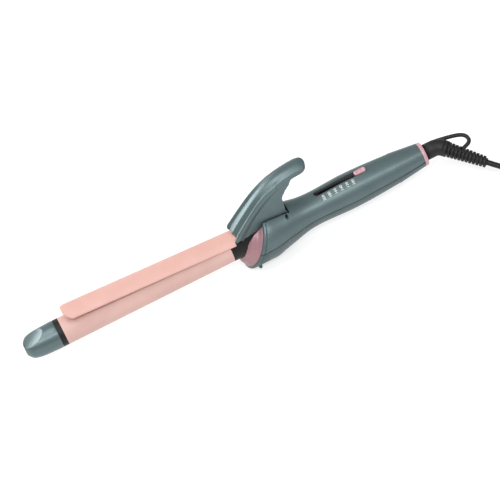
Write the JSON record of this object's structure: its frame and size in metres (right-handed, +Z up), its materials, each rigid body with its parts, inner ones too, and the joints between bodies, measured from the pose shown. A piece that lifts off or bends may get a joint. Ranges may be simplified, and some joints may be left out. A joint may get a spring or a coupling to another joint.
{
  "type": "curling iron",
  "caption": "Hair curling iron with a heated round barrel, a spring clip on a thumb lever, a sliding heat control in a two-shell handle, and a swivel cord with a hang loop and plug.",
  "frame": {"origin": "on the surface the iron rests on, under the middle of its length without the cord", "axes": "+X from the tip along the barrel to the cord end, +Z up on the side of the clip and the lever, +Y to the side away from the cord's bend"},
  "size_m": [0.4844, 0.1032, 0.0759],
  "materials": {
    "cap_plastic": "satin",
    "handle_plastic": "satin",
    "lever_plastic": "satin",
    "black_plastic": "matte",
    "barrel_coat": "satin",
    "clip_coat": "satin",
    "pink_plastic": "satin",
    "bare_aluminium": "cast",
    "heater_ceramic": "matte",
    "steel": "plain",
    "zinc_screws": "zinc plated",
    "brass": "plain",
    "board": "satin",
    "components": "satin",
    "lead_sleeve": "matte",
    "fuse_can": "satin",
    "sensor_glass": "gloss",
    "resistor_body": "matte",
    "block_plastic": "matte",
    "guard_rubber": "matte",
    "cord_sheath": "matte",
    "tie_plastic": "matte",
    "pin_plating": "nickel plated"
  },
  "bodies": {
    "iron": {"tip_cap": "cap_plastic", "tip_ring": "black_plastic", "barrel_tube": "barrel_coat", "heat_spreader_upper": "bare_aluminium", "heat_spreader_lower": "bare_aluminium", "ceramic_heater": "heater_ceramic", "barrel_bush": "black_plastic", "front_collar": "pink_plastic", "handle_lower": "handle_plastic", "handle_upper": "handle_plastic", "shell_screws": "zinc_screws", "hinge_pin": "steel", "clip_spring": "steel", "end_ring": "pink_plastic", "slot_bezel": "black_plastic", "slide_resistor": "resistor_body", "circuit_board": "board", "board_components": "components", "heater_leads": "lead_sleeve", "thermal_fuse": "fuse_can", "heat_sensor": "sensor_glass", "brush_block": "block_plastic", "brush_contacts": "brass"},
    "clip": {"thumb_lever": "lever_plastic", "clip_spoon": "clip_coat", "clip_rivets": "steel"},
    "slider": {"heat_slider": "pink_plastic"},
    "cord_end": {"swivel_spool": "block_plastic", "slip_rings": "brass", "cord_guard": "guard_rubber", "hang_loop": "guard_rubber", "cord": "cord_sheath", "cord_tail": "cord_sheath", "cord_coil": "cord_sheath", "cord_tie": "tie_plastic", "plug_body": "guard_rubber", "plug_pins": "pin_plating"}
  },
  "joints": [
    {"name": "clip_hinge", "type": "hinge", "parent": "iron", "child": "clip", "pos_m": [0.05145, 0, 0.03659], "axis": [0, 1, 0], "range_deg": [0, 26], "stiffness_Nm_per_rad": 0.35, "springref_deg": -17.19, "deforming": ["clip_spring"]},
    {"name": "heat_slide", "type": "slide", "parent": "iron", "child": "slider", "axis": [-1, 0, 0], "range_m": [0, 0.0346]},
    {"name": "cord_swivel", "type": "hinge", "parent": "iron", "child": "cord_end", "pos_m": [0.168, 0, 0.02269], "axis": [1, 0, 0], "continuous": true}
  ]
}
